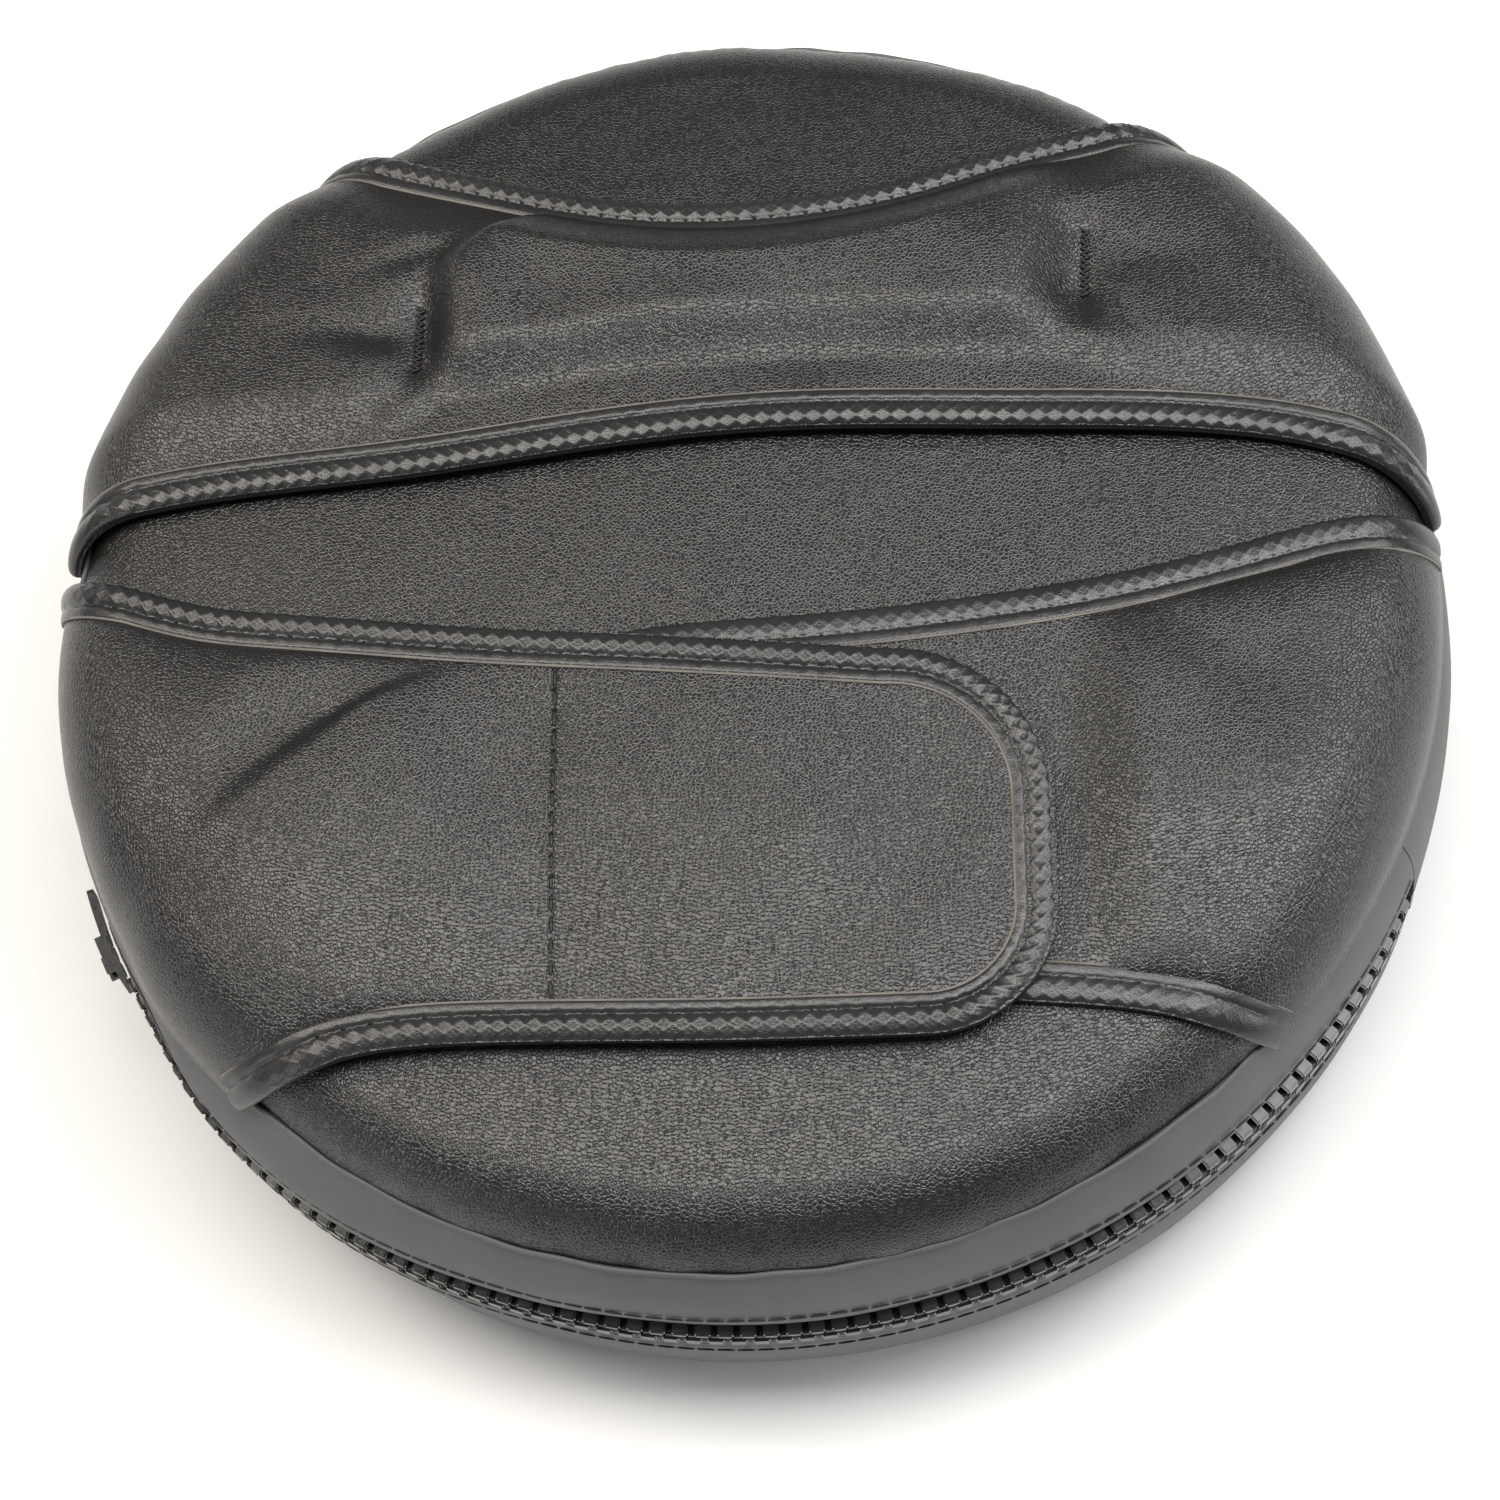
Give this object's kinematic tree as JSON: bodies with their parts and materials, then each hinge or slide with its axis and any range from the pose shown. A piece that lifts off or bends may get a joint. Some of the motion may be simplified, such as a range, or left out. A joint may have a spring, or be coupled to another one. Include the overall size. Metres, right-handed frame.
{
  "type": "spare tyre cover",
  "caption": "Round padded leathercloth spare wheel cover with a side zip, a padded cross band and two overlapping straps with a touch-fastened flap.",
  "frame": {"origin": "centre of the cover's footprint, on the surface that it lies on with its face up", "axes": "+Z is the wheel's axis, out of the padded face; -Y is the middle of the zipped mouth; the straps run along X"},
  "size_m": [0.4082, 0.4094, 0.1275],
  "materials": {
    "leathercloth": "satin black, fine pebble grain",
    "side_cloth": "matte charcoal, very fine grain",
    "binding": "satin black, embossed with a small braid",
    "lining": "matte woven",
    "foam": "open-cell foam",
    "zip_tape": "matte woven tape",
    "zip_plastic": "glossy black moulding",
    "thread": "bonded thread",
    "hook_loop": "touch fastener",
    "slider_metal": "black enamel"
  },
  "bodies": {
    "cover": {"face_panel": "leathercloth", "face_foam": "foam", "face_lining": "lining", "side_band": "side_cloth", "rear_zip_strip": "side_cloth", "front_zip_strip_ends": "side_cloth", "back_panel": "side_cloth", "hub_opening_trim": "binding", "zip_teeth_front_ends": "zip_plastic", "zip_teeth_rear": "zip_plastic", "zip_tape_front_ends": "zip_tape", "zip_tape_rear": "zip_tape", "zip_bottom_stop": "zip_plastic", "band_panel": "leathercloth", "band_pad": "foam", "band_lining": "lining", "band_top_trim": "binding", "band_bottom_trim": "binding", "band_tacks": "thread", "left_root_panel": "leathercloth", "left_root_pad": "foam", "left_root_lining": "lining", "left_root_trim": "binding", "right_root_panel": "leathercloth", "right_root_trim": "binding"},
    "mouth_lip": {"lip_panel": "leathercloth", "lip_foam": "foam", "lip_lining": "lining", "lip_zip_strip": "side_cloth", "zip_teeth_lip": "zip_plastic", "zip_tape_lip": "zip_tape"},
    "left_strap": {"left_strap_panel": "leathercloth", "left_strap_pad": "foam", "left_strap_lining": "lining", "left_strap_trim": "binding"},
    "strap_flap": {"flap_panel": "leathercloth", "flap_trim": "binding", "hook_patch": "hook_loop", "flap_stitching": "thread"},
    "right_strap": {"right_strap_panel": "leathercloth", "right_strap_trim": "binding", "loop_patch": "hook_loop"},
    "slider": {"zip_slider": "slider_metal", "slider_inner_plate": "slider_metal", "slider_pin": "slider_metal"},
    "pull": {"zip_pull": "slider_metal"}
  },
  "joints": [
    {"name": "mouth_lift", "type": "hinge", "parent": "cover", "child": "mouth_lip", "pos_m": [0, -0.15, 0.1122], "axis": [-1, 0, 0], "range_deg": [0, 50]},
    {"name": "left_strap_lift", "type": "hinge", "parent": "cover", "child": "left_strap", "pos_m": [-0.152, -0.064, 0.1202], "axis": [0.3838, -0.9234, 0], "range_deg": [0, 55]},
    {"name": "flap_fold", "type": "hinge", "parent": "left_strap", "child": "strap_flap", "pos_m": [-0.0501, -0.08, 0.1274], "axis": [0, -1, 0], "range_deg": [0, 150]},
    {"name": "right_strap_lift", "type": "hinge", "parent": "cover", "child": "right_strap", "pos_m": [0.153, -0.0615, 0.1142], "axis": [0.3842, 0.9233, 0], "range_deg": [0, 20]},
    {"name": "slider_travel", "type": "hinge", "parent": "cover", "child": "slider", "pos_m": [0, 0, 0.058], "axis": [0, 0, 1], "range_deg": [0, 128]},
    {"name": "pull_swing", "type": "hinge", "parent": "slider", "child": "pull", "pos_m": [-0.1886, -0.08795, 0.058], "axis": [0, 0, 1], "range_deg": [0, 150]}
  ],
  "couplings": [
    {"joint": "right_strap_lift", "follows": "left_strap_lift", "ratio": 0.36}
  ]
}
